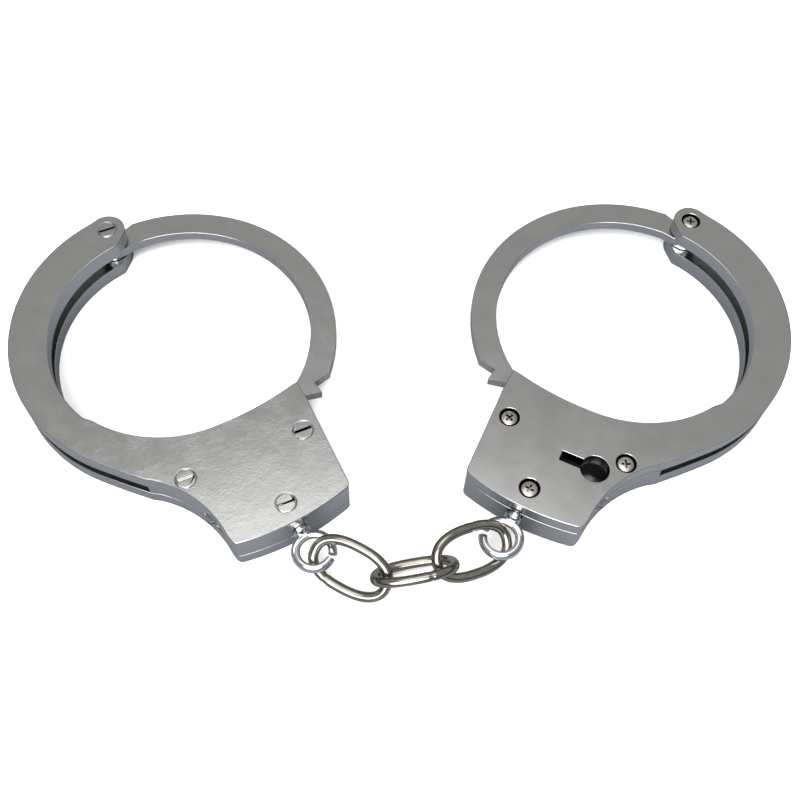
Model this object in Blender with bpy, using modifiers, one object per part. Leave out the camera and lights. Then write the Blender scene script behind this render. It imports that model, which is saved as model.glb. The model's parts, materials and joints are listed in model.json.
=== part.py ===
"""Pair of chain handcuffs, modelled as two cast cuffs joined by a swivel chain.

Every cuff is drawn once, lying flat with its key side down, in its own frame:
origin at the centre of the wrist ring, +Y towards the bow's pivot, -Y towards
the chain, +Z towards the back face. The left cuff is laid back face up and the
right cuff is turned over, key side up. Sizes below are in millimetres.
"""
import math

import bmesh
import bpy
from mathutils import Matrix, Vector

MM = 0.001
GAP = 0.3                       # clearance between neighbouring pieces
SEAM = 0.25                     # seam between the casting and its cover

# ---- overall sizes ---------------------------------------------------------
RING_OUT = 40.9                 # outer radius of the ring; the cuff's plan follows it
THICK = 12.0                    # key face to back face
COVER = THICK / 3               # thickness of the key-side cheek
BOW_T = THICK * 0.7 / 3         # thickness of the swinging bow
PLAN = RING_OUT / 40.9          # plan points below are given for a 40.9 mm ring
CHEEK_Z = COVER + BOW_T + 2 * GAP
RING_WIDTH = 8.7                # radial width of the ring
EDGE = 0.35                     # rounding of the outer face edges
WALL = 1.5                      # wall of the lock housing


def at(x, y):
    """A point of the cuff's plan."""
    return Vector((x, y)) * PLAN


# ---- pivot and bow ---------------------------------------------------------
PIVOT = at(-2.2, 38.4)
BOSS_R = 4.6
POST_R = 2.2                    # cast posts the screws thread into
BOW_C = at(0.95, 1.5)
BOW_OUT = 39.6 * PLAN
BOW_WIDTH = 6.6
BOW_IN = BOW_OUT - BOW_WIDTH
TIP_R = 74.5 * PLAN             # ratchet tip circle about the pivot
TOOTH = 2.7                     # tooth height
ROOT_R = TIP_R - TOOTH
PITCH = 3.8                     # degrees between teeth, about the pivot
FIRST_TIP = 20.2                # tooth just outside the housing, degrees
TEETH = 5

# ---- screws ----------------------------------------------------------------
SCREWS = {"a": at(13.3, -40.9), "b": at(-16.2, -38.1), "c": at(0.8, -55.4)}
SCREW_R = 1.2
SCREW_HOLE = SCREW_R + GAP
HEAD_R = 2.1
HEAD_T = 1.5
SINK_R = HEAD_R + 0.4
SINK_D = HEAD_T + 0.35
SCREW_END = THICK - 2.6

# ---- lock ------------------------------------------------------------------
PAWL_PIN = at(0.8, -43.9)
PIN_R = 1.2
HUB_R = 2.5
LEVER_PIN = at(-8.9, -53.6)
KEYHOLE = at(-10.4, -43.2)
KEYHOLE_R = 3.45
KEY_SLOT_W = 2.6
KEY_SLOT_END = 8.6              # slot end, from the keyhole centre
SPRING_R = 1.15
SPRING_WIRE = 0.22
SPRING_X = 4.9 * PLAN

# ---- swivel and chain ------------------------------------------------------
STEM_X = 1.4 * PLAN
MOUTH_Y = -60.45 * PLAN                # end wall of the housing, where the stem leaves
STEM_R = 1.7
NECK_R = 2.15
SWIVEL_HEAD_R = 2.6
SWIVEL_HEAD_T = 0.9
MOUTH_WALL = 1.1
LINK_A = 9.2                    # half length of a link's wire centre line; the chain follows it
CHAIN = LINK_A / 9.2
LINK_B = 5.45 * CHAIN           # half width of that centre line
LINK_WIRE = 1.2 * CHAIN         # wire radius of a link
EYE_R = 4.3 * CHAIN             # eye wire centre line
EYE_WIRE = 1.05 * CHAIN         # eye wire radius
LINK_POWER = 2.4
EYE_REACH = EYE_R + 2.65        # eye centre to mouth with the stem drawn right out

# How the chain lies: long and short directions of each link, and the step
# from one link's end to the start of the next, in wire-and-gap units.
LINK_LONG = [(0.907, -0.414, -0.075), (0.975, 0.211, 0.074), (0.881, 0.432, -0.196)]
LINK_SHORT = [(0.363, 0.679, 0.637), (-0.079, 0.631, -0.771), (-0.255, 0.780, 0.572)]
LINK_STEP = [(-0.967, 0.633, 0.237), (-1.481, -0.270, 0.730)]
START_OFFSET = Vector((0.21, 0.30, 0.32)) * CHAIN
END_OFFSET = Vector((1.28, 0.0, -0.69)) * CHAIN

LEFT_TURN = math.radians(34.07)
RIGHT_TURN = math.radians(-27.16)
LEFT_PUSH = 0.5                 # how far each swivel is pushed into its housing
RIGHT_PUSH = 0.0
LEFT_SPLIT = math.radians(-48)  # where each eye's wire ends meet
RIGHT_SPLIT = math.radians(-10)


for old in list(bpy.data.objects):
    bpy.data.objects.remove(old, do_unlink=True)

scene = bpy.context.scene
parts_col = bpy.data.collections.new("handcuffs")
cutters_col = bpy.data.collections.new("cutters")
scene.collection.children.link(parts_col)
scene.collection.children.link(cutters_col)


def material(name, colour, roughness, metallic=1.0):
    mat = bpy.data.materials.new(name)
    mat.use_nodes = True
    bsdf = mat.node_tree.nodes["Principled BSDF"]
    bsdf.inputs["Base Color"].default_value = (*colour, 1.0)
    bsdf.inputs["Roughness"].default_value = roughness
    bsdf.inputs["Metallic"].default_value = metallic
    mat.diffuse_color = (*colour, 1.0)
    return mat


NICKEL = material("satin_nickel_casting", (0.55, 0.55, 0.54), 0.30)
COVER_NICKEL = material("satin_nickel_cover", (0.56, 0.56, 0.55), 0.28)
BOW_NICKEL = material("satin_nickel_bow", (0.52, 0.52, 0.51), 0.30)
CHROME = material("bright_chrome", (0.72, 0.73, 0.75), 0.10)
LINK_STEEL = material("warm_nickel_wire", (0.46, 0.44, 0.39), 0.25)
SCREW_STEEL = material("screw_steel", (0.62, 0.58, 0.52), 0.32)
PAWL_STEEL = material("pawl_steel", (0.30, 0.30, 0.31), 0.45)
LEVER_STEEL = material("lever_steel", (0.42, 0.43, 0.44), 0.38)
SPRING_STEEL = material("spring_steel", (0.40, 0.40, 0.42), 0.30)


# ---- outline helpers, all in millimetres -----------------------------------
MOUTH = Vector((STEM_X, MOUTH_Y, THICK * 0.5))


def polar(centre, radius, degrees):
    a = math.radians(degrees)
    return Vector((centre[0] + radius * math.cos(a), centre[1] + radius * math.sin(a)))


def sweep(centre, radius, start, stop, count):
    return [polar(centre, radius, start + (stop - start) * i / count) for i in range(count + 1)]


def about_pivot(radius, phi):
    """Point at an angle from straight down, positive towards the bow's side."""
    a = math.radians(phi)
    return Vector((PIVOT.x + radius * math.sin(a), PIVOT.y - radius * math.cos(a)))


def arc3(p, q, r, count):
    """Arc from p through q to r."""
    ax, ay, bx, by, cx, cy = p[0], p[1], q[0], q[1], r[0], r[1]
    d = 2 * (ax * (by - cy) + bx * (cy - ay) + cx * (ay - by))
    pa, pb, pc = ax * ax + ay * ay, bx * bx + by * by, cx * cx + cy * cy
    ux = (pa * (by - cy) + pb * (cy - ay) + pc * (ay - by)) / d
    uy = (pa * (cx - bx) + pb * (ax - cx) + pc * (bx - ax)) / d
    radius = math.hypot(ax - ux, ay - uy)
    a0 = math.atan2(ay - uy, ax - ux)
    a1 = math.atan2(by - uy, bx - ux)
    a2 = math.atan2(cy - uy, cx - ux)
    turn = (a2 - a0) % (2 * math.pi)
    if (a1 - a0) % (2 * math.pi) > turn:
        turn -= 2 * math.pi
    return [Vector((ux + radius * math.cos(a0 + turn * i / count),
                    uy + radius * math.sin(a0 + turn * i / count))) for i in range(count + 1)]


def circle(centre, radius, count=20):
    return [polar(centre, radius, 360.0 * i / count) for i in range(count)]


# ---- object helpers --------------------------------------------------------
def finish(obj, mat, parent=None, location=None, rotation=None, smooth=30.0):
    obj.data.materials.clear()
    obj.data.materials.append(mat)
    if parent is not None:
        obj.parent = parent
        obj.matrix_parent_inverse = Matrix.Translation(MOUTH * -MM)
    if location is not None:
        obj.location = location
    if rotation is not None:
        obj.rotation_euler = rotation
    obj.data.shade_smooth()
    obj.data.set_sharp_from_angle(angle=math.radians(smooth))
    return obj


def curve_to_mesh(obj, name, weld=0.00001):
    """Turn an evaluated curve object into a welded mesh object."""
    bpy.context.view_layer.update()
    graph = bpy.context.evaluated_depsgraph_get()
    mesh = bpy.data.meshes.new_from_object(obj.evaluated_get(graph))
    bm = bmesh.new()
    bm.from_mesh(mesh)
    bmesh.ops.remove_doubles(bm, verts=bm.verts, dist=weld)
    bm.to_mesh(mesh)
    bm.free()
    new = bpy.data.objects.new(name, mesh)
    new.matrix_world = obj.matrix_world
    parts_col.objects.link(new)
    curve = obj.data
    bpy.data.objects.remove(obj, do_unlink=True)
    bpy.data.curves.remove(curve)
    mesh.name = name
    return new


def plate(name, loops, z0, z1, about=(0.0, 0.0)):
    """Flat plate: the first loop is its outline, the others are holes in it."""
    curve = bpy.data.curves.new(name, 'CURVE')
    curve.dimensions = '2D'
    curve.fill_mode = 'BOTH'
    curve.extrude = (z1 - z0) * 0.5 * MM
    for loop in loops:
        spline = curve.splines.new('POLY')
        spline.points.add(len(loop) - 1)
        for point, p in zip(spline.points, loop):
            point.co = ((p[0] - about[0]) * MM, (p[1] - about[1]) * MM, 0.0, 1.0)
        spline.use_cyclic_u = True
    obj = bpy.data.objects.new(name + "_outline", curve)
    obj.location = (0.0, 0.0, (z0 + z1) * 0.5 * MM)
    parts_col.objects.link(obj)
    new = curve_to_mesh(obj, name)
    new.data.transform(new.matrix_world)
    new.matrix_world = Matrix.Identity(4)
    return new


def tube(name, points, radius, cyclic=False, resolution=2):
    """Round wire along a polyline given in millimetres."""
    curve = bpy.data.curves.new(name, 'CURVE')
    curve.dimensions = '3D'
    curve.bevel_depth = radius * MM
    curve.bevel_resolution = resolution
    curve.use_fill_caps = not cyclic
    spline = curve.splines.new('POLY')
    spline.points.add(len(points) - 1)
    for point, p in zip(spline.points, points):
        point.co = (p[0] * MM, p[1] * MM, p[2] * MM, 1.0)
    spline.use_cyclic_u = cyclic
    obj = bpy.data.objects.new(name + "_wire", curve)
    parts_col.objects.link(obj)
    return curve_to_mesh(obj, name)


def turned(name, profile, segments=28):
    """Turned shape from (radius, height) points, listed top to bottom."""
    mesh = bpy.data.meshes.new(name)
    bm = bmesh.new()
    verts = [bm.verts.new((r * MM, 0.0, z * MM)) for r, z in profile]
    for a, b in zip(verts, verts[1:]):
        bm.edges.new((a, b))
    bm.to_mesh(mesh)
    bm.free()
    obj = bpy.data.objects.new(name, mesh)
    parts_col.objects.link(obj)
    screw = obj.modifiers.new("turn", 'SCREW')
    screw.axis = 'Z'
    screw.steps = segments
    screw.render_steps = segments
    screw.use_merge_vertices = True
    screw.merge_threshold = 0.00001
    return obj


def cylinder(name, centre, radius, z0, z1, segments=20):
    mesh = bpy.data.meshes.new(name)
    bm = bmesh.new()
    bmesh.ops.create_cone(bm, cap_ends=True, segments=segments, radius1=radius * MM,
                          radius2=radius * MM, depth=(z1 - z0) * MM)
    bmesh.ops.translate(bm, verts=bm.verts,
                        vec=(centre[0] * MM, centre[1] * MM, (z0 + z1) * 0.5 * MM))
    bm.to_mesh(mesh)
    bm.free()
    obj = bpy.data.objects.new(name, mesh)
    parts_col.objects.link(obj)
    return obj


def box(name, low, high):
    mesh = bpy.data.meshes.new(name)
    bm = bmesh.new()
    bmesh.ops.create_cube(bm, size=1.0)
    size = [(b - a) * MM for a, b in zip(low, high)]
    mid = [(b + a) * 0.5 * MM for a, b in zip(low, high)]
    bmesh.ops.scale(bm, verts=bm.verts, vec=size)
    bmesh.ops.translate(bm, verts=bm.verts, vec=mid)
    bm.to_mesh(mesh)
    bm.free()
    obj = bpy.data.objects.new(name, mesh)
    parts_col.objects.link(obj)
    return obj


def apply_modifiers(obj):
    bpy.context.view_layer.update()
    graph = bpy.context.evaluated_depsgraph_get()
    mesh = bpy.data.meshes.new_from_object(obj.evaluated_get(graph))
    obj.modifiers.clear()
    old = obj.data
    obj.data = mesh
    bpy.data.meshes.remove(old)


def boolean(target, tools, operation):
    """Apply one boolean against all the tools at once, then remove them."""
    group = bpy.data.collections.new("tools")
    cutters_col.children.link(group)
    for tool in tools:
        parts_col.objects.unlink(tool)
        group.objects.link(tool)
        tool.hide_render = True
        tool.display_type = 'WIRE'
    mod = target.modifiers.new("bool", 'BOOLEAN')
    mod.operation = operation
    mod.solver = 'EXACT'
    mod.operand_type = 'COLLECTION'
    mod.collection = group
    apply_modifiers(target)
    for tool in tools:
        mesh = tool.data
        bpy.data.objects.remove(tool, do_unlink=True)
        bpy.data.meshes.remove(mesh)
    bpy.data.collections.remove(group)
    bm = bmesh.new()
    bm.from_mesh(target.data)
    bmesh.ops.remove_doubles(bm, verts=bm.verts, dist=0.000002)
    bmesh.ops.dissolve_degenerate(bm, edges=bm.edges, dist=0.000001)
    bm.to_mesh(target.data)
    bm.free()
    return target


def cut(target, *tools):
    return boolean(target, tools, 'DIFFERENCE')


def join(target, *tools):
    return boolean(target, tools, 'UNION')


def round_rim(obj, z, width, steps=2):
    """Round the outer rim of the face at height z."""
    bm = bmesh.new()
    bm.from_mesh(obj.data)
    rim = []
    for edge in bm.edges:
        if all(abs(v.co.z - z * MM) < 1e-6 for v in edge.verts) and len(edge.link_faces) == 2:
            if edge.calc_face_angle() > 0.5:
                rim.append(edge)
    bmesh.ops.bevel(bm, geom=rim, offset=width * MM, segments=steps, profile=0.5, affect='EDGES',
                    clamp_overlap=True)
    bm.to_mesh(obj.data)
    bm.free()


# ---- plan outlines ---------------------------------------------------------
RING_C = at(-0.1, 1.8)
INNER_R = RING_OUT - RING_WIDTH
GAP_END = at(-24.4, -33.3)              # where the slot between the cheeks ends
FLARE = arc3(at(-22.6, -34.8), at(-16.7, -43.6), at(-14.4, -55.8), 12)
BOTTOM = arc3(at(-12.7, -58.75), (STEM_X, MOUTH_Y - 0.1), at(14.4, -59.4), 10)
RIGHT_TOP = at(18.4, -28.5)


def cheek_outline():
    pts = sweep(PIVOT, BOSS_R, -48, 96, 14)
    pts += sweep(RING_C, RING_OUT, 97, 217, 30)
    pts += [at(-28.6, -28.2), GAP_END]
    pts += FLARE
    pts += [at(-14.1, -57.6), at(-13.6, -58.4)]
    pts += BOTTOM
    pts += [at(15.3, -59.0), at(15.75, -58.2), at(18.3, -33.3), RIGHT_TOP]
    pts += arc3(at(17.4, -28.5), at(5.0, -29.7), at(-6.0, -29.0), 8)
    pts += arc3(at(-7.5, -28.7), at(-19.4, -23.5), at(-28.6, -13.0), 12)
    pts += sweep((0, 0), INNER_R, 200, 94, 26)
    return pts


def wall_outline():
    """Block of the housing between the cover and the back cheek."""
    pts = [GAP_END] + FLARE
    pts += [at(-14.1, -57.6), at(-13.6, -58.4)]
    pts += BOTTOM
    pts += [at(15.3, -59.0), at(15.75, -58.2)]
    pts += [at(15.75, -58.2).lerp(at(18.3, -33.3), 22.0 / 24.9)]
    clear = TIP_R + 0.5
    pts += [about_pivot(clear, phi) for phi in (14.6, 12, 9, 6, 3, 0, -3, -6, -9.2)]
    pts += [about_pivot(ROOT_R + 0.9, phi) for phi in (-9.8, -12.5, -15.2)]
    pts += [GAP_END + at(2.0, 1.2)]
    return pts


def cavity_outline():
    inset = Vector((WALL, 0.0))
    floor_y = MOUTH_Y + MOUTH_WALL
    side = STEM_R + 1.9
    top = TIP_R - 1.1
    return [at(-16.2, -47.2) + inset, at(-14.6, -55.0) + inset, at(-13.0, -57.2) + inset,
            Vector((STEM_X - side - 0.4, floor_y + 1.45)), Vector((STEM_X - side, floor_y)),
            Vector((STEM_X + side, floor_y)), Vector((STEM_X + side + 0.4, floor_y + 1.45)),
            at(14.4, -57.6) - inset, at(16.0, -40.0) - inset, about_pivot(top, 12.8),
            about_pivot(top, 5), about_pivot(top, -3), about_pivot(top, -8.2),
            at(-13.4, -39.6), at(-14.9, -42.6)]


def bow_outline():
    pts = sweep(PIVOT, BOSS_R, 20, 262, 20)
    inner_start = 86.0
    pts += sweep(BOW_C, BOW_IN, inner_start, -56.0, 30)
    tips = [FIRST_TIP - PITCH * i for i in reversed(range(TEETH))]
    ramp = PITCH * 0.803
    end = tips[0] - ramp - 1.0
    back = ROOT_R - 3.0
    pts += [about_pivot(back, phi) for phi in (16, 12, 8, 4, end + 0.4)]
    pts += [about_pivot(back + 0.7, end - 0.5), about_pivot(ROOT_R - 0.7, end - 0.5),
            about_pivot(ROOT_R - 0.2, end)]
    for tip in tips:
        pts += [about_pivot(ROOT_R, tip - ramp), about_pivot(TIP_R, tip - 0.08),
                about_pivot(TIP_R, tip)]
    pts += [about_pivot(ROOT_R - 0.45, FIRST_TIP + 0.68), about_pivot(ROOT_R + 0.8, FIRST_TIP + 4.4)]
    pts += sweep(BOW_C, BOW_OUT, -46.0, 84.0, 30)
    return pts


def pawl_outline():
    tip = FIRST_TIP - 3 * PITCH
    root = ROOT_R + 0.65
    tooth = [about_pivot(TIP_R + 0.5, tip + 0.45), about_pivot(root, tip + 0.8),
             about_pivot(root + 0.05, tip + 0.95), about_pivot(root + 0.45, tip + 1.35),
             about_pivot(TIP_R + 0.9, tip + 1.0)]
    hub = sweep(PAWL_PIN, HUB_R, -20, -100, 6)
    tail_tip = PAWL_PIN + at(-6.6, -5.4)
    tail = [PAWL_PIN + at(-2.0, -2.9), tail_tip + at(0.6, -0.9),
            tail_tip + at(-0.3, -0.5), tail_tip + at(-0.2, 0.5)]
    back = sweep(PAWL_PIN, HUB_R, 165, 60, 7)
    return list(reversed(tooth + hub + tail + back))


def lever_outline():
    pin = LEVER_PIN
    hub = 1.9
    arm = sweep(pin, hub, 100, -60, 10)
    nose = [pin + at(2.2, -0.2), at(-5.2, -51.4), at(-4.6, -50.9),
            at(-5.3, -50.45), at(-7.6, -51.5)]
    tab = [at(-12.2, -47.6), at(-15.8, -46.3), at(-16.3, -47.7),
           at(-15.9, -48.5), at(-13.4, -49.5), at(-11.0, -52.8)]
    low = sweep(pin, hub, 170, 290, 8)
    return tab + low + nose[:1] + nose[1:]


def link_points():
    pts = []
    for i in range(36):
        t = 2 * math.pi * i / 36
        c, s = math.cos(t), math.sin(t)
        x = LINK_A * math.copysign(abs(c) ** (2 / LINK_POWER), c)
        y = LINK_B * math.copysign(abs(s) ** (2 / LINK_POWER), s)
        pts.append((x + LINK_A, y, 0.0))
    return pts


# ---- the pieces of one cuff ------------------------------------------------
def along_stem(name, radius, y0, y1, segments):
    """Cylinder on the swivel's axis, from y0 to y1 inside the housing's mouth."""
    body = cylinder(name, (0, 0), radius, y0, y1, segments)
    body.data.transform(Matrix.Rotation(math.radians(-90), 4, 'X'))
    body.data.transform(Matrix.Translation((STEM_X * MM, MOUTH_Y * MM, THICK * 0.5 * MM)))
    return body


def head_room():
    room = SWIVEL_HEAD_T + max(LEFT_PUSH, RIGHT_PUSH) + 2 * GAP
    return along_stem("head_room", SWIVEL_HEAD_R + GAP, MOUTH_WALL, MOUTH_WALL + room, 24)


def stem_way():
    return along_stem("stem_way", STEM_R + GAP, -2.0, MOUTH_WALL + 0.5, 20)


def back_casting(name):
    body = plate(name, [cheek_outline()], CHEEK_Z, THICK)
    round_rim(body, THICK, EDGE)
    walls = plate("walls", [wall_outline()], COVER + SEAM, CHEEK_Z + 0.6)
    cut(walls, plate("cavity", [cavity_outline()], COVER - 1, CHEEK_Z + 2),
        box("lever_slot", (-20.0 * PLAN, -56.4 * PLAN, COVER + SEAM + 0.5),
            (-12.6 * PLAN, -45.2 * PLAN, CHEEK_Z - 0.25)))
    posts = list(SCREWS.values()) + [PIVOT]
    solids = [walls]
    solids += [cylinder("post", p, POST_R, COVER + SEAM, THICK - 1.7) for p in posts]
    solids += [cylinder("pin", PAWL_PIN, PIN_R, COVER + SEAM, THICK - 1.9),
               cylinder("pin", LEVER_PIN, PIN_R, COVER + SEAM, THICK - 2.1)]
    join(body, *solids)
    tools = [head_room(), stem_way()]
    for p in posts:
        tools.append(cylinder("thread", p, SCREW_HOLE, COVER - 1, SCREW_END + 0.5, 16))
        tools.append(plate("groove", [circle(p, 2.55), circle(p, 2.3)], THICK - 0.22, THICK + 1))
        slot = box("slot", (-1.95, -0.24, THICK - 0.28), (1.95, 0.24, THICK + 1))
        slot.data.transform(Matrix.Translation((p[0] * MM, p[1] * MM, 0))
                            @ Matrix.Rotation(math.radians(-8), 4, 'Z'))
        tools.append(slot)
    cut(body, *tools)
    return body


def key_cover(name):
    slot = math.asin(KEY_SLOT_W * 0.5 / KEYHOLE_R)
    tilt = -5
    start = math.degrees(slot) + tilt
    hole = sweep(KEYHOLE, KEYHOLE_R, start, start + 360 - 2 * math.degrees(slot), 22)
    along = polar((0, 0), 1.0, tilt)
    across = Vector((-along.y, along.x))
    hole += [KEYHOLE + KEY_SLOT_END * along - KEY_SLOT_W * 0.5 * across,
             KEYHOLE + KEY_SLOT_END * along + KEY_SLOT_W * 0.5 * across]
    posts = list(SCREWS.values()) + [PIVOT]
    body = plate(name, [cheek_outline()], 0.0, COVER)
    round_rim(body, 0.0, EDGE)
    tools = [plate("keyhole", [hole], -1.0, COVER + 1), head_room()]
    if THICK * 0.5 - STEM_R - GAP < COVER - 0.05:
        tools.append(stem_way())
    for p in posts:
        tools.append(cylinder("hole", p, SCREW_HOLE, SINK_D - 0.5, COVER + 1, 16))
        tools.append(cylinder("sink", p, SINK_R, -1.0, SINK_D))
    cut(body, *tools)
    return body


def screw(name, length):
    """Cross-head screw standing on its head: the head is at the bottom."""
    body = turned(name, [(0.0, length), (SCREW_R - 0.3, length), (SCREW_R, length - 0.5),
                         (SCREW_R, HEAD_T), (HEAD_R, HEAD_T), (HEAD_R, 0.35),
                         (HEAD_R - 0.35, 0.0), (0.0, 0.0)], 18)
    apply_modifiers(body)
    blades = []
    for turn in (45, 135):
        arm = HEAD_R * 0.6
        blade = box("cross", (-arm, -0.27, -0.6), (arm, 0.27, HEAD_T * 0.53))
        blade.data.transform(Matrix.Rotation(math.radians(turn), 4, 'Z'))
        blades.append(blade)
    cut(body, *blades)
    return body


def swivel(name, split):
    """Eye and stem: origin at the eye's centre, stem along +Y."""
    half = math.radians(9)
    points = []
    count = 34
    for i in range(count + 1):
        a = split - half - (2 * math.pi - 2 * half) * i / count
        lift = 0.35 * (1 - 2 * i / count)
        points.append((EYE_R * math.cos(a), EYE_R * math.sin(a), lift))
    ring = tube(name, points, EYE_WIRE)
    head_top = MOUTH_WALL + GAP + SWIVEL_HEAD_T
    stem = turned("stem", [(0.0, head_top), (SWIVEL_HEAD_R - 0.2, head_top),
                           (SWIVEL_HEAD_R, head_top - 0.2),
                           (SWIVEL_HEAD_R, MOUTH_WALL + GAP), (STEM_R, MOUTH_WALL + GAP),
                           (STEM_R, -0.45), (NECK_R, -0.75),
                           (NECK_R, -1.5), (1.5, -2.2), (0.0, -2.4)], 24)
    apply_modifiers(stem)
    stem.data.transform(Matrix.Rotation(math.radians(-90), 4, 'X'))
    stem.data.transform(Matrix.Translation((0.0, EYE_REACH * MM, 0.0)))
    join(ring, stem)
    return ring


def coil(name, turns=6, per_turn=10):
    """Compression spring standing on its lower end, along +Z."""
    height = SPRING_LEN
    points = []
    total = turns * per_turn
    for i in range(total + 1):
        a = 2 * math.pi * i / per_turn
        points.append((SPRING_R * math.cos(a), SPRING_R * math.sin(a),
                       SPRING_WIRE + (height - 2 * SPRING_WIRE) * i / total))
    return tube(name, points, SPRING_WIRE, resolution=1)


SPRING_SEAT = -57.4 * PLAN
SPRING_TOP = -45.9 * PLAN
SPRING_LEN = SPRING_TOP - SPRING_SEAT


def cuff(side, frame, push, split):
    """Build all the pieces of one cuff under the given frame empty."""
    z_mid = (COVER + CHEEK_Z) * 0.5
    finish(back_casting(side + "back_casting"), NICKEL, frame)
    finish(key_cover(side + "key_cover"), COVER_NICKEL, frame)
    bow = plate(side + "bow", [bow_outline(), circle(PIVOT, POST_R + GAP, 24)],
                -BOW_T * 0.5, BOW_T * 0.5, PIVOT)
    round_rim(bow, BOW_T * 0.5, 0.22, steps=1)
    round_rim(bow, -BOW_T * 0.5, 0.22, steps=1)
    finish(bow, BOW_NICKEL, frame, (PIVOT.x * MM, PIVOT.y * MM, z_mid * MM))
    pawl = plate(side + "pawl", [pawl_outline(), circle(PAWL_PIN, PIN_R + GAP, 20)],
                 -BOW_T * 0.5, BOW_T * 0.5, PAWL_PIN)
    finish(pawl, PAWL_STEEL, frame, (PAWL_PIN.x * MM, PAWL_PIN.y * MM, z_mid * MM))
    lever = plate(side + "release_lever", [lever_outline(), circle(LEVER_PIN, PIN_R + GAP, 20)],
                  -BOW_T * 0.23, BOW_T * 0.38, LEVER_PIN)
    finish(lever, LEVER_STEEL, frame, (LEVER_PIN.x * MM, LEVER_PIN.y * MM, z_mid * MM))
    finish(coil(side + "pawl_spring"), SPRING_STEEL, frame,
           (SPRING_X * MM, SPRING_SEAT * MM, z_mid * MM), (math.radians(-90), 0, 0))
    for key, p in list(SCREWS.items()) + [("pivot", PIVOT)]:
        label = side + ("pivot_screw" if key == "pivot" else "cover_screw_" + key)
        finish(screw(label, SCREW_END - 0.35), SCREW_STEEL, frame,
               (p.x * MM, p.y * MM, 0.35 * MM))
    eye = swivel(side + "swivel_eye", split)
    finish(eye, CHROME, frame,
           (STEM_X * MM, (MOUTH_Y - EYE_REACH + push) * MM, THICK * 0.5 * MM), smooth=40)


def frame_empty(name, matrix):
    """Empty that carries one cuff, standing on the swivel's axis at the mouth."""
    empty = bpy.data.objects.new(name, None)
    parts_col.objects.link(empty)
    empty.matrix_world = matrix @ Matrix.Translation(MOUTH * MM)
    return empty


# ---- assembly --------------------------------------------------------------
eye_local = Vector((STEM_X, MOUTH_Y - EYE_REACH, THICK * 0.5))
left_rot = Matrix.Rotation(LEFT_TURN, 4, 'Z')
right_rot = Matrix.Rotation(RIGHT_TURN, 4, 'Z') @ Matrix.Rotation(math.pi, 4, 'Y')

left_eye = left_rot @ (eye_local + Vector((0, LEFT_PUSH, 0)))
start = left_eye + START_OFFSET
ends = []
step = 2 * LINK_WIRE + GAP
for i in range(3):
    long_dir = Vector(LINK_LONG[i]).normalized()
    ends.append((start.copy(), long_dir))
    stop = start + 2 * LINK_A * long_dir
    if i < 2:
        start = stop + step * Vector(LINK_STEP[i])
right_eye = stop - END_OFFSET
turned_eye = right_rot @ (eye_local + Vector((0, RIGHT_PUSH, 0)))
right_at = Vector((right_eye.x - turned_eye.x, right_eye.y - turned_eye.y, THICK))

left_frame = frame_empty("left_cuff_frame", left_rot)
right_frame = frame_empty("right_cuff_frame", Matrix.Translation(right_at * MM) @ right_rot)
cuff("left_", left_frame, LEFT_PUSH, LEFT_SPLIT)
cuff("right_", right_frame, RIGHT_PUSH, RIGHT_SPLIT)

for i, (start, long_dir) in enumerate(ends):
    short = Vector(LINK_SHORT[i])
    short = (short - long_dir * short.dot(long_dir)).normalized()
    normal = long_dir.cross(short)
    basis = Matrix((long_dir, short, normal)).transposed().to_4x4()
    link = tube("chain_link_%d" % (i + 1), link_points(), LINK_WIRE, cyclic=True)
    finish(link, LINK_STEEL)
    link.matrix_world = Matrix.Translation(start * MM) @ basis

# centre the whole set on the floor origin
bpy.context.view_layer.update()
low = Vector((1e9, 1e9))
high = Vector((-1e9, -1e9))
for obj in parts_col.objects:
    if obj.type == 'MESH':
        for v in obj.data.vertices:
            w = obj.matrix_world @ v.co
            low = Vector((min(low.x, w.x), min(low.y, w.y)))
            high = Vector((max(high.x, w.x), max(high.y, w.y)))
shift = Vector((-(low.x + high.x) * 0.5, -(low.y + high.y) * 0.5, 0.0))
for obj in parts_col.objects:
    if obj.parent is None:
        obj.matrix_world = Matrix.Translation(shift) @ obj.matrix_world
bpy.context.view_layer.update()
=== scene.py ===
"""Pair of chain handcuffs in a plain studio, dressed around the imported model.

Every cuff is worked in its own frame, in millimetres: origin at the centre of
the wrist ring, +Y towards the bow's pivot, -Y towards the chain, +Z towards
the back face. The frame of each cuff is found from the model's own joints.
"""
import json
import math

import bpy
import bmesh
import numpy as np
from mathutils import Matrix, Vector

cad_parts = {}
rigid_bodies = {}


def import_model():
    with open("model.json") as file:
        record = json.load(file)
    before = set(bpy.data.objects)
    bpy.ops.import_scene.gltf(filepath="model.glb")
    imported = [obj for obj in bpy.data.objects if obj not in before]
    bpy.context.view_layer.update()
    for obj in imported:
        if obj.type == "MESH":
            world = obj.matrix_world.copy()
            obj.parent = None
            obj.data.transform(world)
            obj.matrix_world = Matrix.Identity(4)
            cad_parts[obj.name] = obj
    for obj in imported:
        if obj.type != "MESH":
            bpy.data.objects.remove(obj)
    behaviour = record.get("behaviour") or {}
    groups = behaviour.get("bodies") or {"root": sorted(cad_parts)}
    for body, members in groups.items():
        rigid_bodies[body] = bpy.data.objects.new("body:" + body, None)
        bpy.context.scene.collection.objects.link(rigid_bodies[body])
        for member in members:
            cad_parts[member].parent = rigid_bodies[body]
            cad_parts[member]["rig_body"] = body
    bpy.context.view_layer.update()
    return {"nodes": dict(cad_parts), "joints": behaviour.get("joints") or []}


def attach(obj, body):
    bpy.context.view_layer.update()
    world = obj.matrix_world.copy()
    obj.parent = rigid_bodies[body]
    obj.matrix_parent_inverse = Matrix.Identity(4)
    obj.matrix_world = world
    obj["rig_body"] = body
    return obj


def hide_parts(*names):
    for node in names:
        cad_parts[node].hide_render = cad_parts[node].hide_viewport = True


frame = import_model()
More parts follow.
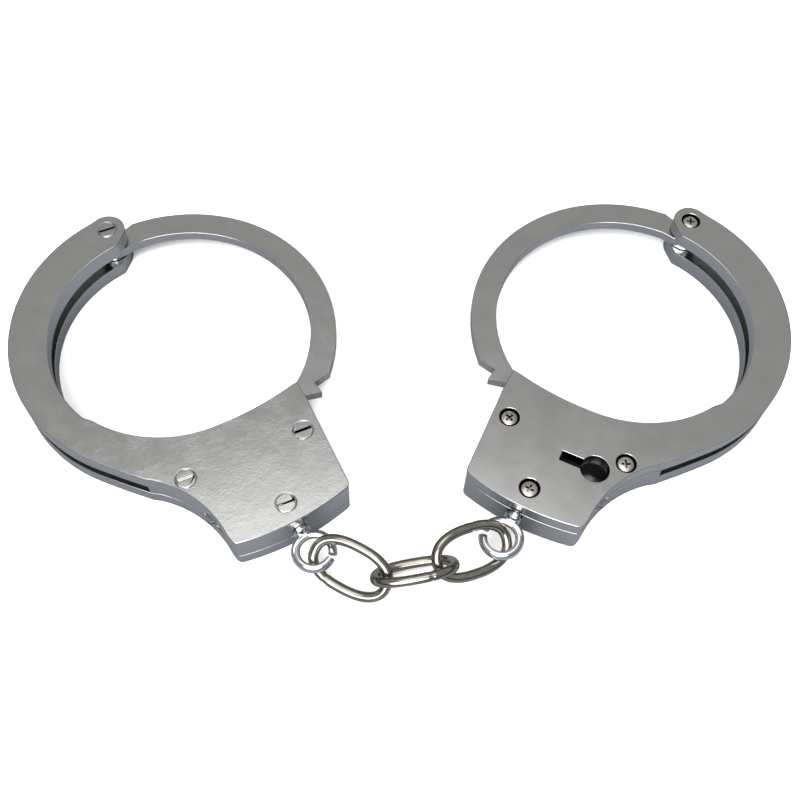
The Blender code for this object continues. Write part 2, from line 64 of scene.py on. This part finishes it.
NODES = frame["nodes"]
JOINTS = {joint["name"]: joint for joint in frame["joints"]}
MM = 0.001
SIDES = ("left", "right")

# ---- sizes shared by the pieces, in millimetres ----------------------------
PIVOT_XY = (-2.2, 38.4)
SCREW_SPOTS = {"cover_screw_a": (13.3, -40.9), "cover_screw_b": (-16.2, -38.1),
               "cover_screw_c": (0.8, -55.4), "pivot_screw": PIVOT_XY}
BOW_PLANE = 5.7             # height of the bow's hinge and of the pawl spring
MID_PLANE = 6.0             # height of the swivel and its eye
BACK_FACE = 12.0
PLATE_EDGE = 0.16           # edge rounding of the castings and covers
LEVER_EDGE = 0.10

HEAD_TOP = 0.35             # screw head's depth below the key face
HEAD_R = 2.1
HEAD_T = 1.5
HEAD_DOME = 0.5             # part of HEAD_T that is domed
DOME_STEPS = ((0.10, 0.19), (0.16, 0.13), (0.28, 0.10), (0.40, 0.06), (0.50, 0.02))
SHANK_R = 1.2
SHANK_END = 9.4
SHANK_TIP = 0.5
CROSS_BLADE = (2.7, 0.62, 1.8)
CROSS_TAPER = 0.6
CROSS_REACH = 1.45
CROSS_DEPTH = 1.1
SCREW_TURN = 23.0           # degrees, so that no two crosses line up

SINK_R = 2.5                # sinks of the screw heads
KEYHOLE = (-10.4, -43.2)
KEYHOLE_R = 3.45
KEY_SLOT_END = 8.6
KEY_SLOT_REACH = 1.6        # half width within which a face is the slot's
KEY_SLOT_LEAN = 0.09
GROOVE_TOP = 11.9           # the false heads' groove floors lie between these
GROOVE_FLOOR = 11.72
GROOVE_PRESS = 0.10         # how much deeper they are pressed

STEM_X = 1.4
EYE_R = 4.3
EYE_WIRE = 1.05
EYE_REACH = 6.95            # from the eye's centre to the housing
EYE_SPLIT = {"left": math.radians(-48), "right": math.radians(-10)}
EYE_HALF_GAP = math.radians(9)
EYE_SPREAD = 0.35           # sideways step of each cut end
EYE_STATIONS = 88
STEM_PROFILE = ((0.0, 2.3), (2.4, 2.3), (2.6, 2.1), (2.6, 1.4), (1.7, 1.4), (1.7, -0.40),
                (1.86, -0.60), (2.08, -0.72), (2.15, -0.95), (2.15, -1.35),
                (2.06, -1.62), (1.86, -1.90), (1.5, -2.2), (0.0, -2.4))

LINK_FULLNESS = 2.4         # 2 is an ellipse, more is fuller at the ends
LINK_STATIONS = 120
LINK_SEAMS = ((1, 0.82), (2, 0.30), (3, 0.27))
SEAM_HALF_M = 0.00028
SEAM_PINCH = 0.90

SPRING_START = (4.9, -57.4)
SPRING_LENGTH = 11.5
SPRING_R = 1.15
SPRING_WIRE = 0.22
SPRING_TURNS = 6
SPRING_PER_TURN = 26


# ---- working helpers -------------------------------------------------------
def pick(obj):
    """Make this the only selected object."""
    bpy.ops.object.select_all(action='DESELECT')
    obj.select_set(True)
    bpy.context.view_layer.objects.active = obj
    return obj


def added(name):
    """The object an add operator has just made, with its name set."""
    obj = bpy.context.object
    obj.name = name
    obj.data.name = name
    return obj


def settle(obj, matrix=None):
    """Put an object's place into its mesh, and leave the object at the origin."""
    place = (matrix or Matrix.Identity(4)) @ obj.matrix_basis
    obj.data.transform(place)
    obj.matrix_basis = Matrix.Identity(4)
    if place.determinant() < 0:
        obj.data.flip_normals()
    return obj


def with_mesh(obj, work):
    """Run a change on the mesh through bmesh."""
    bm = bmesh.new()
    bm.from_mesh(obj.data)
    work(bm)
    bm.to_mesh(obj.data)
    bm.free()
    return obj


def in_edit(obj, *steps):
    """Run edit-mode operators on the whole mesh of an object."""
    pick(obj)
    bpy.ops.object.mode_set(mode='EDIT')
    bpy.ops.mesh.select_all(action='SELECT')
    for step in steps:
        step()
    bpy.ops.object.mode_set(mode='OBJECT')
    return obj


def apply_all(obj):
    """Apply every modifier, in order."""
    pick(obj)
    for modifier in list(obj.modifiers):
        bpy.ops.object.modifier_apply(modifier=modifier.name)
    return obj


def soften(obj, width, segments=2, limit=32.0):
    """Round every edge that turns by more than the limit, in degrees."""
    bevel = obj.modifiers.new("edges", 'BEVEL')
    bevel.limit_method = 'ANGLE'
    bevel.angle_limit = math.radians(limit)
    bevel.width = width * MM
    bevel.segments = segments
    bevel.use_clamp_overlap = False
    return apply_all(obj)


def smooth(obj, degrees=35.0):
    """Smooth shading that keeps broad faces flat."""
    pick(obj)
    bpy.ops.object.shade_smooth_by_angle(angle=math.radians(degrees))
    weight = obj.modifiers.new("flat_faces", 'WEIGHTED_NORMAL')
    weight.mode = 'FACE_AREA_WITH_ANGLE'
    weight.weight = 100
    weight.keep_sharp = True
    return apply_all(obj)


def combine(obj, other, operation):
    """Boolean one finished piece with another, which is used up."""
    modifier = obj.modifiers.new("combine", 'BOOLEAN')
    modifier.operation = operation
    modifier.solver = 'EXACT'
    modifier.object = other
    apply_all(obj)
    bpy.data.objects.remove(other, do_unlink=True)
    return obj


def dress(obj, material, node):
    """Give a finished piece its material, and let it stand for its CAD node."""
    if not obj.data.materials or obj.data.materials[0] is not material:
        obj.data.materials.clear()
        obj.data.materials.append(material)
    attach(obj, NODES[node]["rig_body"])
    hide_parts(node)
    return obj


# ---- frames of the cuffs ---------------------------------------------------
def cuff_frame(side):
    """The cuff's own frame, from its bow hinge and its swivel."""
    hinge = JOINTS[side + "_bow_swing"]
    swivel = JOINTS[side + "_swivel"]
    up = Vector(hinge["axis"]).normalized()
    along = Vector(swivel["axis"]).normalized()
    stem = Vector(hinge["pos_m"]) - Vector(swivel["pos_m"])
    if stem.dot(along) < 0:
        along = -along
    across = along.cross(up)
    turn = Matrix((across, along, up)).transposed().to_4x4()
    pivot = Vector((PIVOT_XY[0], PIVOT_XY[1], BOW_PLANE)) * MM
    origin = Vector(hinge["pos_m"]) - turn.to_3x3() @ pivot
    return Matrix.Translation(origin) @ turn @ Matrix.Scale(MM, 4)


CUFF = {side: cuff_frame(side) for side in SIDES}


def local_points(node, matrix):
    """A CAD node's points in another frame."""
    back = matrix.inverted()
    return np.array([back @ v.co for v in NODES[node].data.vertices])


# ---- materials -------------------------------------------------------------
class Finish:
    """Builds one procedural metal, reading Object coordinates."""

    def __init__(self, name):
        self.material = bpy.data.materials.new(name)
        self.material.use_nodes = True
        self.tree = self.material.node_tree
        self.shader = self.tree.nodes["Principled BSDF"]
        self.shader.inputs["Metallic"].default_value = 1.0
        self.coords = self.tree.nodes.new("ShaderNodeTexCoord").outputs["Object"]
        self.bumps = None

    def node(self, kind, **values):
        made = self.tree.nodes.new(kind)
        for key, value in values.items():
            setattr(made, key, value)
        return made

    def link(self, source, target):
        self.tree.links.new(source, target)

    def noise(self, per_metre, detail=3.0, rough=0.55, stretch=(1, 1, 1), turn=(0, 0, 0)):
        place = self.node("ShaderNodeMapping")
        place.inputs["Scale"].default_value = stretch
        place.inputs["Rotation"].default_value = turn
        made = self.node("ShaderNodeTexNoise")
        made.inputs["Scale"].default_value = per_metre
        made.inputs["Detail"].default_value = detail
        made.inputs["Roughness"].default_value = rough
        self.link(self.coords, place.inputs["Vector"])
        self.link(place.outputs["Vector"], made.inputs["Vector"])
        return made.outputs["Fac"]

    def span(self, source, low, high, to_low, to_high):
        made = self.node("ShaderNodeMapRange")
        for name, value in (("From Min", low), ("From Max", high),
                            ("To Min", to_low), ("To Max", to_high)):
            made.inputs[name].default_value = value
        self.link(source, made.inputs["Value"])
        return made.outputs["Result"]

    def blend_colours(self, factor, first, second):
        made = self.node("ShaderNodeMix", data_type='RGBA')
        self.link(factor, made.inputs["Factor"])
        for index, colour in ((6, first), (7, second)):
            if isinstance(colour, tuple):
                made.inputs[index].default_value = (*colour, 1.0)
            else:
                self.link(colour, made.inputs[index])
        return made.outputs[2]

    def maths(self, first, second, operation='ADD'):
        made = self.node("ShaderNodeMath", operation=operation)
        self.link(first, made.inputs[0])
        if isinstance(second, (int, float)):
            made.inputs[1].default_value = second
        else:
            self.link(second, made.inputs[1])
        return made.outputs[0]

    def bump(self, height, strength, depth_mm):
        made = self.node("ShaderNodeBump")
        made.inputs["Strength"].default_value = strength
        made.inputs["Distance"].default_value = depth_mm * MM
        self.link(height, made.inputs["Height"])
        if self.bumps is not None:
            self.link(self.bumps, made.inputs["Normal"])
        self.bumps = made.outputs["Normal"]

    def done(self, colour, roughness):
        self.link(colour, self.shader.inputs["Base Color"])
        self.link(roughness, self.shader.inputs["Roughness"])
        if self.bumps is not None:
            self.link(self.bumps, self.shader.inputs["Normal"])
        return self.material


def scratches(metal, turn_degrees, per_metre=38.0, keep=0.70):
    """Fine straight hairlines running one way."""
    lines = metal.noise(per_metre, 5.0, 0.75, (1.0, 34.0, 34.0),
                        (0.0, 0.0, math.radians(turn_degrees)))
    return metal.span(lines, keep, keep + 0.05, 0.0, 1.0)


def satin_nickel(name, dark, light, rough, pitting, scratch_turn):
    """Nickel plate on a die casting: soft mottling, faint pitting, hairlines."""
    metal = Finish(name)
    cloud = metal.noise(150.0, 4.0, 0.6)
    mottle = metal.noise(620.0, 3.0, 0.6)
    grain = metal.noise(3600.0, 2.0, 0.5)
    marks = scratches(metal, scratch_turn)
    cross = scratches(metal, scratch_turn + 74.0, 30.0, 0.73)
    hairs = metal.maths(marks, cross, 'MAXIMUM')
    tone = metal.maths(cloud, metal.maths(mottle, 0.35, 'MULTIPLY'))
    colour = metal.blend_colours(metal.span(tone, 0.48, 0.92, 0.0, 1.0), dark, light)
    colour = metal.blend_colours(metal.maths(hairs, 0.35, 'MULTIPLY'), colour, RUBBED)
    rough = metal.span(metal.maths(cloud, grain), 0.75, 1.25, *rough)
    rough = metal.maths(rough, metal.maths(hairs, 0.10, 'MULTIPLY'))
    fine = metal.noise(2300.0, 3.0, 0.65)
    worked = metal.maths(fine, metal.span(cloud, 0.45, 0.62, 0.15, 1.0), 'MULTIPLY')
    metal.bump(worked, 0.40 * pitting, 0.022)
    metal.bump(mottle, 0.12 * pitting, 0.03)
    metal.bump(grain, 0.25 * pitting, 0.006)
    metal.bump(hairs, 0.12, 0.006)
    return metal.done(colour, rough)


def drawn_wire(name, dark, light, rough, dented):
    """Plated wire or small steel part with faint dents and rubbed spots."""
    metal = Finish(name)
    cloud = metal.noise(240.0, 4.0, 0.6)
    rubs = metal.noise(1500.0, 4.0, 0.7)
    dents = metal.noise(420.0, 2.0, 0.5)
    colour = metal.blend_colours(metal.span(cloud, 0.35, 0.68, 0.0, 1.0), dark, light)
    worn = metal.span(rubs, 0.60, 0.72, 0.0, 0.5)
    colour = metal.blend_colours(worn, colour, tuple(min(1.0, c * 1.25) for c in light))
    rough = metal.span(metal.maths(cloud, rubs), 0.7, 1.3, *rough)
    metal.bump(dents, dented, 0.05)
    metal.bump(rubs, 0.5 * dented, 0.01)
    return metal.done(colour, rough)


RUBBED = (0.80, 0.81, 0.82)
CASTING = satin_nickel("satin_nickel_back_casting", (0.615, 0.615, 0.60),
                       (0.655, 0.655, 0.64), (0.14, 0.20), pitting=2.2, scratch_turn=18.0)
COVER = satin_nickel("satin_nickel_key_cover", (0.62, 0.62, 0.605),
                     (0.65, 0.65, 0.635), (0.15, 0.21), pitting=0.35, scratch_turn=62.0)
BOW = satin_nickel("satin_nickel_bow", (0.60, 0.60, 0.585),
                   (0.635, 0.635, 0.62), (0.17, 0.24), pitting=0.5, scratch_turn=96.0)
CHROME = drawn_wire("bright_chrome_swivel", (0.74, 0.75, 0.78), (0.86, 0.87, 0.90),
                    (0.03, 0.08), dented=0.08)
LINK = drawn_wire("warm_nickel_link_wire", (0.36, 0.34, 0.29), (0.48, 0.45, 0.39),
                  (0.08, 0.16), dented=0.12)
SCREW = drawn_wire("warm_screw_steel", (0.58, 0.54, 0.48), (0.78, 0.74, 0.67),
                   (0.22, 0.34), dented=0.25)
PAWL = drawn_wire("dark_pawl_steel", (0.16, 0.16, 0.17), (0.26, 0.26, 0.27),
                  (0.34, 0.46), dented=0.30)
LEVER = drawn_wire("grey_lever_steel", (0.30, 0.31, 0.33), (0.46, 0.47, 0.49),
                   (0.28, 0.40), dented=0.25)
# near-black painted shade, given as a material, for the walls of the keyhole, the screw sinks
# and the cross recesses
PAINTED_SHADE = drawn_wire("painted_shade_recess", (0.012, 0.012, 0.013), (0.03, 0.03, 0.032),
                    (0.14, 0.26), dented=0.20)
SPRING = drawn_wire("spring_wire", (0.34, 0.34, 0.36), (0.50, 0.50, 0.52),
                    (0.18, 0.28), dented=0.20)


# ---- castings, covers, bows and lock plates --------------------------------
def deepen_false_heads(bm, place):
    """Press the grooves of the moulded screw heads further into the back face."""
    back = place.inverted()
    for vert in bm.verts:
        local = back @ vert.co
        if GROOVE_FLOOR - 0.02 < local.z < GROOVE_TOP:
            local.z -= GROOVE_PRESS
            vert.co = place @ local


def paint_recess_shade(obj, place):
    """Painted shade, as a second material, on the walls of the keyhole and the screw sinks."""
    obj.data.materials.append(PAINTED_SHADE)
    back = place.inverted()
    turn = back.to_3x3().normalized()
    spots = [Vector(spot) for spot in SCREW_SPOTS.values()]
    for face in obj.data.polygons:
        middle = back @ face.center
        normal = turn @ face.normal
        key = middle.xy - Vector(KEYHOLE)
        in_sink = min((middle.xy - spot).length for spot in spots) < SINK_R + 0.1
        in_slot = (0 < key.x < KEY_SLOT_END + 0.2
                   and abs(key.y + KEY_SLOT_LEAN * key.x) < KEY_SLOT_REACH)
        in_key = key.length < KEYHOLE_R + 0.1 or in_slot
        is_wall = middle.z > 0.2 and (abs(normal.z) < 0.5 or middle.z > 1.0)
        if (in_sink or in_key) and is_wall:
            face.material_index = 1


def worked_copy(node, edge_mm):
    """A merged copy of a flat CAD part, its edges rounded unless edge_mm is 0."""
    obj = bpy.data.objects.new(node + "_worked", NODES[node].data.copy())
    bpy.context.scene.collection.objects.link(obj)
    in_edit(obj, lambda: bpy.ops.mesh.remove_doubles(threshold=0.000003),
            lambda: bpy.ops.mesh.dissolve_limited(angle_limit=math.radians(0.6)))
    if node.endswith("back_casting"):
        with_mesh(obj, lambda bm: deepen_false_heads(bm, CUFF[node.split("_")[0]]))
    if edge_mm:
        soften(obj, edge_mm)
    return smooth(obj)


PLATES = (("back_casting", PLATE_EDGE, CASTING, "casting"),
          ("key_cover", PLATE_EDGE, COVER, "cover"),
          ("bow", 0.0, BOW, "bow"), ("pawl", 0.0, PAWL, "pawl"),
          ("release_lever", LEVER_EDGE, LEVER, "lever"))
for side in SIDES:
    for label, edge, finish, slot in PLATES:
        node = side + "_" + label
        plate = worked_copy(node, edge)
        dress(plate, finish, node)
        if label == "key_cover":
            # painted shade inside the keyhole and the screw sinks
            paint_recess_shade(plate, CUFF[side])


# ---- screws ----------------------------------------------------------------
def cross_screw(name):
    """Pan-head screw with a cross recess, head down, its top at HEAD_TOP."""
    flat = HEAD_T - HEAD_DOME
    bpy.ops.mesh.primitive_cylinder_add(vertices=48, radius=HEAD_R, depth=flat,
                                        location=(0, 0, HEAD_TOP + HEAD_DOME + flat * 0.5))
    body = settle(added(name))

    def shape(bm):
        low = min(bm.faces, key=lambda f: f.calc_center_median().z)
        high = max(bm.faces, key=lambda f: f.calc_center_median().z)
        for inward, out in DOME_STEPS:
            bmesh.ops.inset_region(bm, faces=[low], thickness=inward, depth=0.0,
                                   use_even_offset=True)
            bmesh.ops.translate(bm, verts=low.verts, vec=(0, 0, -out))
        bmesh.ops.inset_region(bm, faces=[high], thickness=HEAD_R - SHANK_R,
                               use_even_offset=True)
        for step in (SHANK_END - HEAD_TOP - HEAD_T - SHANK_TIP, SHANK_TIP):
            made = bmesh.ops.extrude_discrete_faces(bm, faces=[high])
            high = made["faces"][0]
            bmesh.ops.translate(bm, verts=high.verts, vec=(0, 0, step))
        bmesh.ops.scale(bm, verts=high.verts, vec=(0.7, 0.7, 1.0))

    with_mesh(body, shape)

    def taper(bm):
        for vert in bm.verts:
            if vert.co.z > HEAD_TOP:
                vert.co.x *= CROSS_TAPER
                vert.co.y *= CROSS_TAPER

    blades = []
    for turn in (45, 135):
        bpy.ops.mesh.primitive_cube_add(size=1.0, location=(0, 0, HEAD_TOP + 0.10),
                                        rotation=(0, 0, math.radians(turn)), scale=CROSS_BLADE)
        blade = settle(added("recess"))
        blades.append(with_mesh(blade, taper))
    combine(body, combine(*blades, 'UNION'), 'DIFFERENCE')
    soften(body, 0.04, 2, 40.0)
    return smooth(body, 40.0)


def paint_cross_shade(screw):
    """Screw steel all over, with painted shade as the second material inside the cross."""
    screw.data.materials.append(SCREW)
    screw.data.materials.append(PAINTED_SHADE)
    for face in screw.data.polygons:
        depth = face.center.z - HEAD_TOP
        inside = face.center.xy.length < CROSS_REACH and 0.16 < depth < CROSS_DEPTH
        if inside and face.normal.z > -0.75:
            face.material_index = 1


pattern_screw = cross_screw("screw_pattern")
for side in SIDES:
    for label, spot in SCREW_SPOTS.items():
        node = side + "_" + label
        screw = bpy.data.objects.new(node + "_worked", pattern_screw.data.copy())
        bpy.context.scene.collection.objects.link(screw)
        paint_cross_shade(screw)
        turn = Matrix.Rotation(math.radians(SCREW_TURN * (len(label) + spot[0])), 4, 'Z')
        settle(screw, CUFF[side] @ Matrix.Translation((*spot, 0.0)) @ turn)
        dress(screw, SCREW, node)
bpy.data.objects.remove(pattern_screw, do_unlink=True)


# ---- swivel eyes -----------------------------------------------------------
def wire(name, points, radius, around, closed=False):
    """Round wire through points; an open one has flat cut ends."""
    curve = bpy.data.curves.new(name, 'CURVE')
    curve.dimensions = '3D'
    curve.bevel_depth = radius
    curve.bevel_resolution = around
    curve.use_fill_caps = not closed
    spline = curve.splines.new('POLY')
    spline.points.add(len(points) - 1)
    for point, place in zip(spline.points, points):
        point.co = (*place, 1.0)
    spline.use_cyclic_u = closed
    obj = bpy.data.objects.new(name, curve)
    bpy.context.scene.collection.objects.link(obj)
    pick(obj)
    bpy.ops.object.convert(target='MESH')
    obj = bpy.context.object
    in_edit(obj, lambda: bpy.ops.mesh.remove_doubles(threshold=radius * 0.002),
            lambda: bpy.ops.mesh.normals_make_consistent(inside=False))
    return obj


def turned(name, profile, sides):
    """Shape turned about Y from (radius, along) points."""
    mesh = bpy.data.meshes.new(name)
    obj = bpy.data.objects.new(name, mesh)
    bpy.context.scene.collection.objects.link(obj)

    def shape(bm):
        verts = [bm.verts.new((r, y, 0.0)) for r, y in profile]
        for a, b in zip(verts, verts[1:]):
            bm.edges.new((a, b))

    with_mesh(obj, shape)
    screw = obj.modifiers.new("turn", 'SCREW')
    screw.axis = 'Y'
    screw.steps = sides
    screw.render_steps = sides
    screw.use_merge_vertices = True
    screw.merge_threshold = 0.001
    apply_all(obj)
    in_edit(obj, lambda: bpy.ops.mesh.remove_doubles(threshold=0.001),
            lambda: bpy.ops.mesh.normals_make_consistent(inside=False))
    return obj


def swivel_eye(name, split):
    """Bent wire eye at the origin with its turned stem along +Y."""
    points = []
    for i in range(EYE_STATIONS + 1):
        a = split - EYE_HALF_GAP - (2 * math.pi - 2 * EYE_HALF_GAP) * i / EYE_STATIONS
        points.append((EYE_R * math.cos(a), EYE_R * math.sin(a),
                       EYE_SPREAD * (1 - 2 * i / EYE_STATIONS)))
    ring = wire(name, points, EYE_WIRE, 6)
    soften(ring, 0.14, 3, 60.0)
    stem = turned("stem", [(r, EYE_REACH + along) for r, along in STEM_PROFILE], 40)
    combine(ring, stem, 'UNION')
    return smooth(ring, 38.0)


for side in SIDES:
    node = side + "_swivel_eye"
    lowest = local_points(node, CUFF[side]).min(0)[1]
    eye = swivel_eye(node + "_worked", EYE_SPLIT[side])
    centre = Matrix.Translation((STEM_X, lowest + EYE_R + EYE_WIRE, MID_PLANE))
    settle(eye, CUFF[side] @ centre)
    dress(eye, CHROME, node)


# ---- chain links -----------------------------------------------------------
def link_frame(node):
    """Axes and half sizes of a link, long, short and through its thickness."""
    points = np.array([v.co for v in NODES[node].data.vertices])
    middle = points.mean(0)
    axes = np.linalg.svd(points - middle, full_matrices=False)[2]
    if np.linalg.det(axes) < 0:
        axes[2] = -axes[2]
    along = (points - middle) @ axes.T
    centre = middle + ((along.max(0) + along.min(0)) * 0.5) @ axes
    turn = Matrix([list(row) for row in axes]).transposed().to_4x4()
    return Matrix.Translation(Vector(centre)) @ turn, (along.max(0) - along.min(0)) * 0.5


def oval_link(name, half_long, half_short, radius, seam_at):
    """Oval of round wire, full at the ends, with its closing seam."""
    power = 2.0 / LINK_FULLNESS
    points = []
    for i in range(LINK_STATIONS):
        a = 2 * math.pi * i / LINK_STATIONS
        c, s = math.cos(a), math.sin(a)
        points.append((math.copysign(abs(c) ** power, c) * half_long,
                       math.copysign(abs(s) ** power, s) * half_short, 0.0))
    obj = wire(name, points, radius, 7, closed=True)
    spot = Vector(points[int(seam_at * LINK_STATIONS)])

    def seam(bm):
        for vert in bm.verts:
            if abs(vert.co.x - spot.x) < SEAM_HALF_M and vert.co.y * spot.y > 0:
                core = Vector((vert.co.x, spot.y, 0.0))
                vert.co = core.lerp(vert.co, SEAM_PINCH)

    with_mesh(obj, seam)
    return smooth(obj, 50.0)


for index, seam_at in LINK_SEAMS:
    node = "chain_link_%d" % index
    place, half = link_frame(node)
    wire_r = float(half[2])
    link = oval_link(node + "_worked", float(half[0]) - wire_r, float(half[1]) - wire_r,
                     wire_r, seam_at)
    settle(link, place)
    dress(link, LINK, node)


# ---- springs ---------------------------------------------------------------
def pawl_spring(name):
    """Open coil along +Y, starting at the origin."""
    steps = SPRING_TURNS * SPRING_PER_TURN
    rise = SPRING_LENGTH - 2 * SPRING_WIRE
    points = []
    for i in range(steps + 1):
        a = 2 * math.pi * i / SPRING_PER_TURN
        points.append((SPRING_R * math.cos(a), SPRING_WIRE + rise * i / steps,
                       -SPRING_R * math.sin(a)))
    return smooth(wire(name, points, SPRING_WIRE, 3), 50.0)


for side in SIDES:
    node = side + "_pawl_spring"
    spring = pawl_spring(node + "_worked")
    settle(spring, CUFF[side] @ Matrix.Translation((*SPRING_START, BOW_PLANE)))
    dress(spring, SPRING, node)


# ---- studio ----------------------------------------------------------------
LEFT_PIVOT = Vector(JOINTS["left_bow_swing"]["pos_m"]) / MM
CAMERA_AIM = Vector((LEFT_PIVOT.x + 80.0, LEFT_PIVOT.y - 47.572, BACK_FACE))
CAMERA_DISTANCE = 250.0
CAMERA_LENS = 46.3
CAMERA_TILT = math.radians(60.587)      # below the horizon
CAMERA_ROLL = math.radians(2.80)
CEILING_LEAN = math.radians(-4)
CEILING_EDGE = math.cos(math.radians(25.6) + CEILING_LEAN)
SKY_STRENGTH = 1.1
# direction of a glow, and its (cosine from that direction, level) stops
GLOWS = (((0.0, 0.0, 1.0),
          ((0.0, 0.05), (0.30, 0.10), (0.52, 0.34), (1.0, 0.34))),
         ((-0.035, -math.sin(CEILING_LEAN), math.cos(CEILING_LEAN)),
          ((0.0, 0.0), (CEILING_EDGE - 0.012, 0.0), (CEILING_EDGE + 0.035, 1.30), (1.0, 1.30))),
         ((-0.10, -0.72, 0.69),
          ((0.0, 0.0), (0.86, 0.0), (0.90, 3.2), (1.0, 3.2))))
SOFTBOXES = (("key_softbox", (-0.35, -0.30, 0.75), 0.6, 9.0),
             ("fill_softbox", (0.45, 0.10, 0.80), 0.7, 7.0))


def lay_floor():
    """Pale floor, darker in reflections so that side walls stay grey."""
    bpy.ops.mesh.primitive_plane_add(size=4.0, location=(0, 0, -0.0001))
    floor = settle(added("floor"))
    paper = bpy.data.materials.new("pale_floor")
    paper.use_nodes = True
    tree = paper.node_tree
    shader = tree.nodes["Principled BSDF"]
    shader.inputs["Base Color"].default_value = (0.92, 0.92, 0.92, 1.0)
    shader.inputs["Roughness"].default_value = 0.9
    shader.inputs["Specular IOR Level"].default_value = 0.0
    shade = tree.nodes.new("ShaderNodeBsdfDiffuse")
    shade.inputs["Color"].default_value = (0.15, 0.16, 0.18, 1.0)
    path = tree.nodes.new("ShaderNodeLightPath")
    mix = tree.nodes.new("ShaderNodeMixShader")
    tree.links.new(path.outputs["Is Glossy Ray"], mix.inputs["Fac"])
    tree.links.new(shader.outputs["BSDF"], mix.inputs[1])
    tree.links.new(shade.outputs["BSDF"], mix.inputs[2])
    tree.links.new(mix.outputs["Shader"], tree.nodes["Material Output"].inputs["Surface"])
    floor.data.materials.append(paper)


def glow(tree, coords, direction, stops):
    """Brightness by the angle from a direction."""
    lean = tree.nodes.new("ShaderNodeVectorMath")
    lean.operation = 'DOT_PRODUCT'
    lean.inputs[1].default_value = Vector(direction).normalized()
    ramp = tree.nodes.new("ShaderNodeValToRGB")
    tree.links.new(coords, lean.inputs[0])
    tree.links.new(lean.outputs["Value"], ramp.inputs["Fac"])
    elements = ramp.color_ramp.elements
    elements[0].position = stops[0][0]
    elements[1].position = stops[-1][0]
    for position, _ in stops[1:-1]:
        elements.new(position)
    for element, (_, level) in zip(elements, stops):
        element.color = (level, level, level, 1.0)
    return ramp.outputs["Color"]


def light_room():
    """Sky made of glows added up, and two lamps that reflections don't see."""
    world = bpy.data.worlds.new("studio")
    bpy.context.scene.world = world
    world.use_nodes = True
    tree = world.node_tree
    coords = tree.nodes.new("ShaderNodeTexCoord").outputs["Generated"]
    sky = None
    for direction, stops in GLOWS:
        level = glow(tree, coords, direction, stops)
        if sky is not None:
            total = tree.nodes.new("ShaderNodeVectorMath")
            total.operation = 'ADD'
            tree.links.new(sky, total.inputs[0])
            tree.links.new(level, total.inputs[1])
            level = total.outputs["Vector"]
        sky = level
    background = tree.nodes["Background"]
    tree.links.new(sky, background.inputs["Color"])
    background.inputs["Strength"].default_value = SKY_STRENGTH

    for name, place, size, power in SOFTBOXES:
        light = bpy.data.lights.new(name, 'AREA')
        light.size = size
        light.energy = power
        lamp = bpy.data.objects.new(name, light)
        bpy.context.scene.collection.objects.link(lamp)
        lamp.location = place
        lamp.visible_glossy = False
        lamp.rotation_euler = (-Vector(place)).to_track_quat('-Z', 'Y').to_euler()


def place_camera():
    """Camera on the chain side, looking down at the middle of the set."""
    data = bpy.data.cameras.new("camera")
    camera = bpy.data.objects.new("camera", data)
    bpy.context.scene.collection.objects.link(camera)
    data.lens = CAMERA_LENS
    data.sensor_width = 36.0
    data.clip_start = 0.01
    up = Vector((0.0, math.sin(CAMERA_TILT), math.cos(CAMERA_TILT)))
    right = Vector((1.0, 0.0, 0.0))
    look = Vector((0.0, math.cos(CAMERA_TILT), -math.sin(CAMERA_TILT)))
    side_axis = math.cos(CAMERA_ROLL) * right + math.sin(CAMERA_ROLL) * up
    up_axis = -math.sin(CAMERA_ROLL) * right + math.cos(CAMERA_ROLL) * up
    basis = Matrix((side_axis, up_axis, -look)).transposed().to_4x4()
    eye_point = (CAMERA_AIM - look * CAMERA_DISTANCE) * MM
    camera.matrix_world = Matrix.Translation(eye_point) @ basis
    bpy.context.scene.camera = camera
    bpy.context.scene.view_settings.view_transform = 'Standard'


lay_floor()
light_room()
place_camera()
